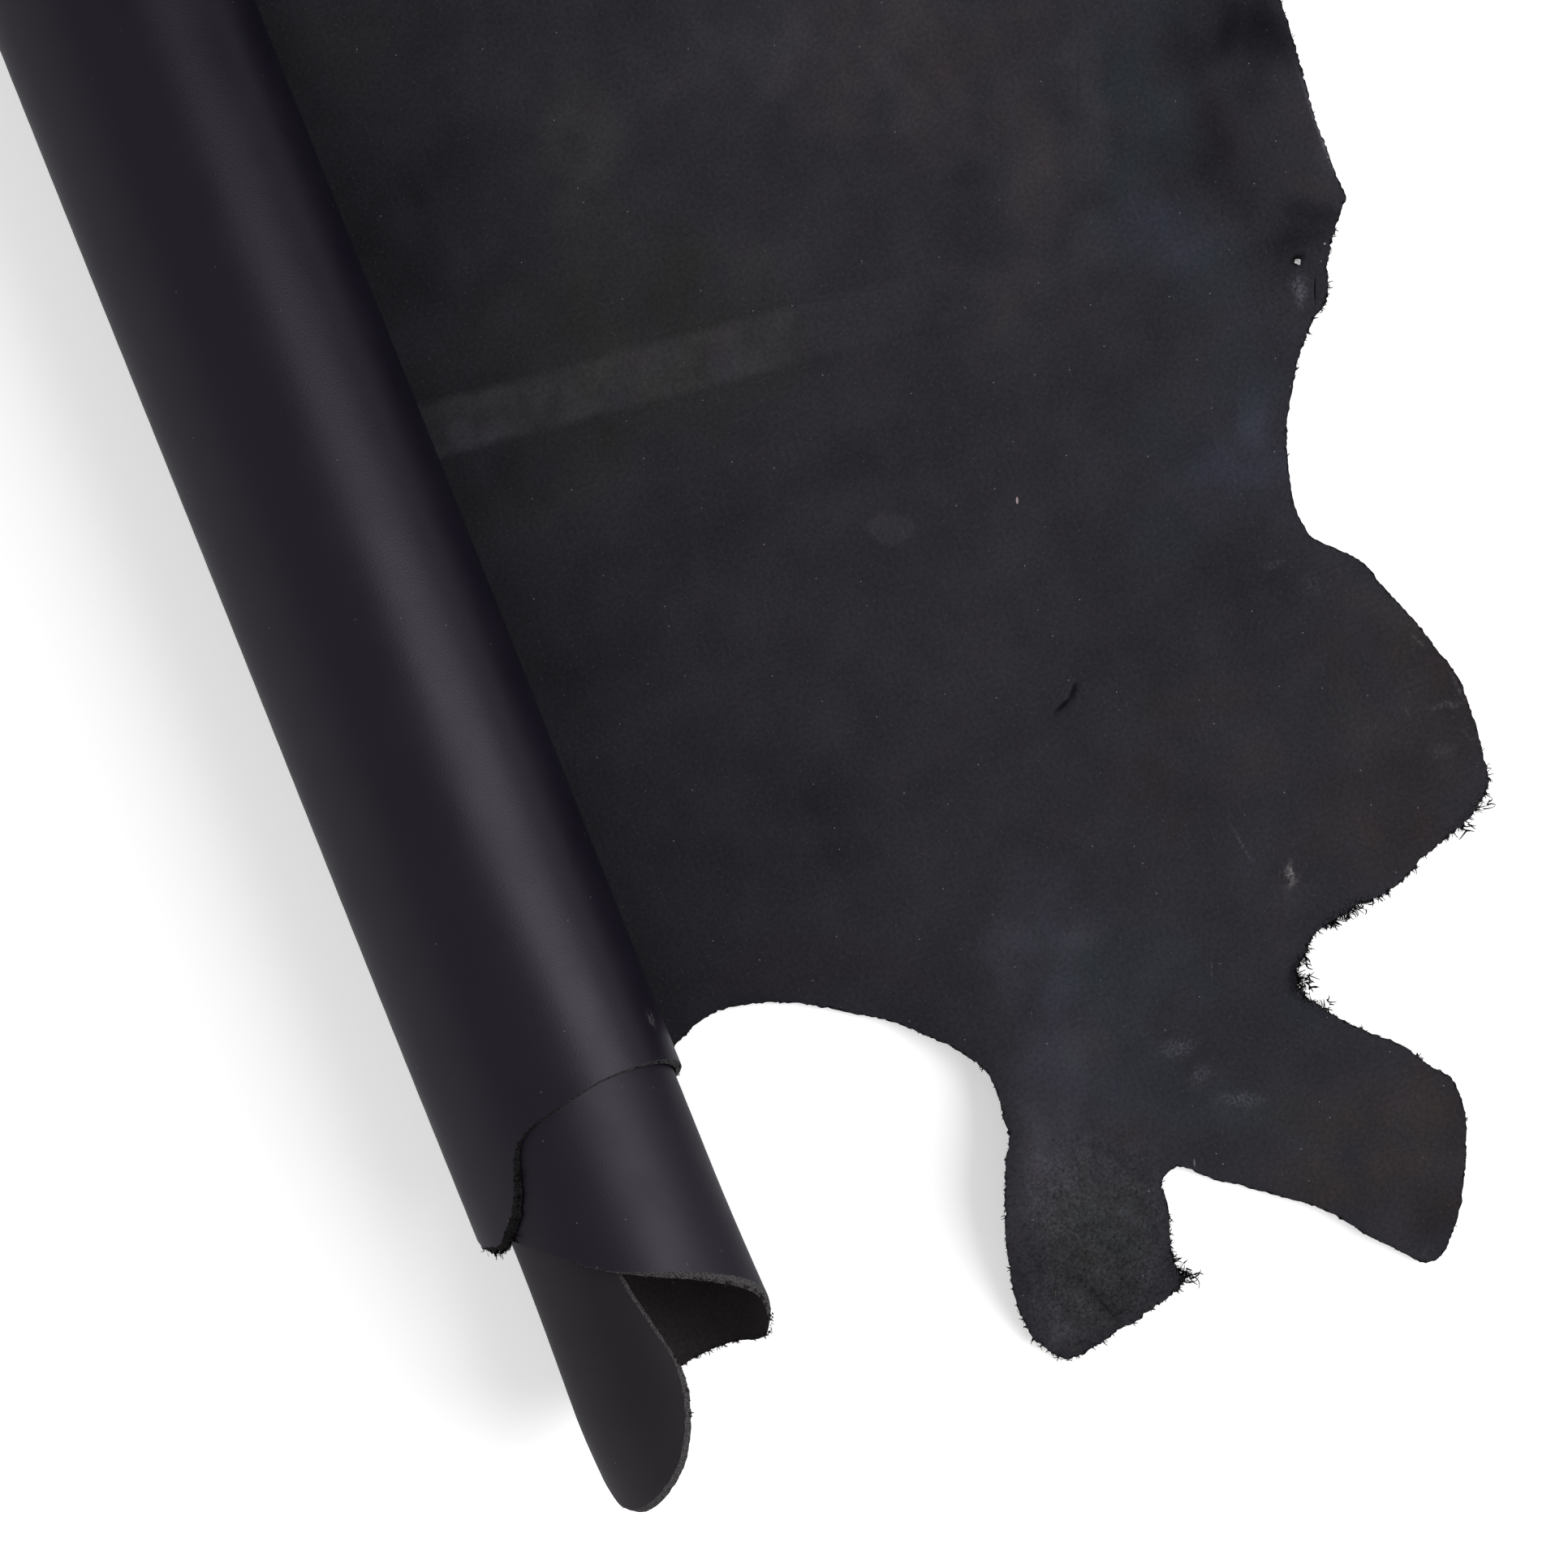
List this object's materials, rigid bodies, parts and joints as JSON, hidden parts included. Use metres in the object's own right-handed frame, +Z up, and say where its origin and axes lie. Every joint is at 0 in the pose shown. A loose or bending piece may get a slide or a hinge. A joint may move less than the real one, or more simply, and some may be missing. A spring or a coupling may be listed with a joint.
{
  "type": "leather side",
  "caption": "Half of a tanned black cattle hide in one piece, lying flesh side up with its back half rolled into a loose scroll, grain side out.",
  "frame": {"origin": "on the floor, under the middle of the hide's bounding box", "axes": "+Z up, +Y along the roll towards the plain far end, +X across the hide from the roll to the belly edge"},
  "size_m": [0.4968, 1.8804, 0.1014],
  "materials": {
    "black_leather": "satin black grain outside the roll, matt charcoal flesh side with faint blue and brown blotches, raw fibrous cut edge"
  },
  "bodies": {
    "root": {"leather_side": "black_leather"}
  },
  "joints": []
}
